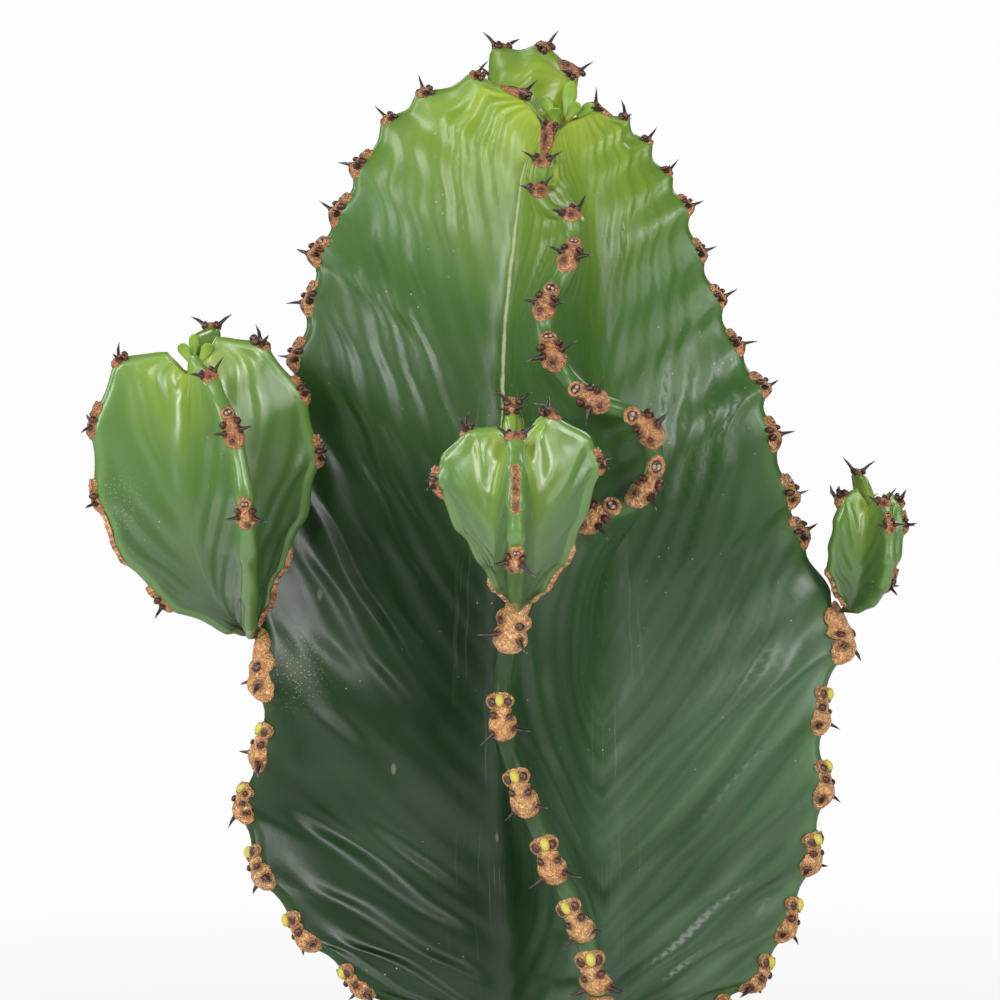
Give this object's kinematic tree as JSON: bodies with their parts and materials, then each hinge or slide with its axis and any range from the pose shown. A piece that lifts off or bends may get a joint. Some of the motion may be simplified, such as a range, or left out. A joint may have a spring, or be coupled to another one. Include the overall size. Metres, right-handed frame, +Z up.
{
  "type": "potted euphorbia",
  "caption": "Winged candelabra euphorbia with corky spine shields along its wavy ribs and short side branches, growing in a plain round clay pot.",
  "frame": {"origin": "centre of the pot's flat base, where it rests on its surface", "axes": "+Z up the plant's height, -Y towards the front rib and the front branch, +X towards the right rib and the smallest branch"},
  "size_m": [0.2489, 0.2423, 0.5844],
  "materials": {
    "terracotta": "matt unglazed fired clay, slightly chalky",
    "potting_soil": "dry gritty potting mix with pale grit",
    "stem_skin": "waxy semi-gloss skin, yellow-green at the tip to dark green below, faint diagonal ripples",
    "branch_skin": "waxy semi-gloss mid green skin, yellow-green at the tips",
    "spine_shield": "dry cracked tan cork with near-black spines",
    "tip_leaf": "small smooth bright green leaves"
  },
  "bodies": {
    "root": {"pot": "terracotta", "soil": "potting_soil", "stem": "stem_skin", "branch_left": "branch_skin", "branch_front": "branch_skin", "branch_right": "branch_skin", "shields_right_upper": "spine_shield", "shields_right_lower": "spine_shield", "shields_back": "spine_shield", "shields_left_upper": "spine_shield", "shields_left_lower": "spine_shield", "shields_front_upper": "spine_shield", "shields_front_lower": "spine_shield", "shields_left_branch_right": "spine_shield", "shields_left_branch_back": "spine_shield", "shields_left_branch_left": "spine_shield", "shields_left_branch_front": "spine_shield", "shields_front_branch_right": "spine_shield", "shields_front_branch_back": "spine_shield", "shields_front_branch_left": "spine_shield", "shields_front_branch_front": "spine_shield", "shields_right_branch_right": "spine_shield", "shields_right_branch_back": "spine_shield", "shields_right_branch_left": "spine_shield", "shields_right_branch_front": "spine_shield", "leaf_1": "tip_leaf", "leaf_2": "tip_leaf", "leaf_3": "tip_leaf", "leaf_4": "tip_leaf", "leaf_5": "tip_leaf", "leaf_6": "tip_leaf", "leaf_7": "tip_leaf", "leaf_8": "tip_leaf"}
  },
  "joints": []
}
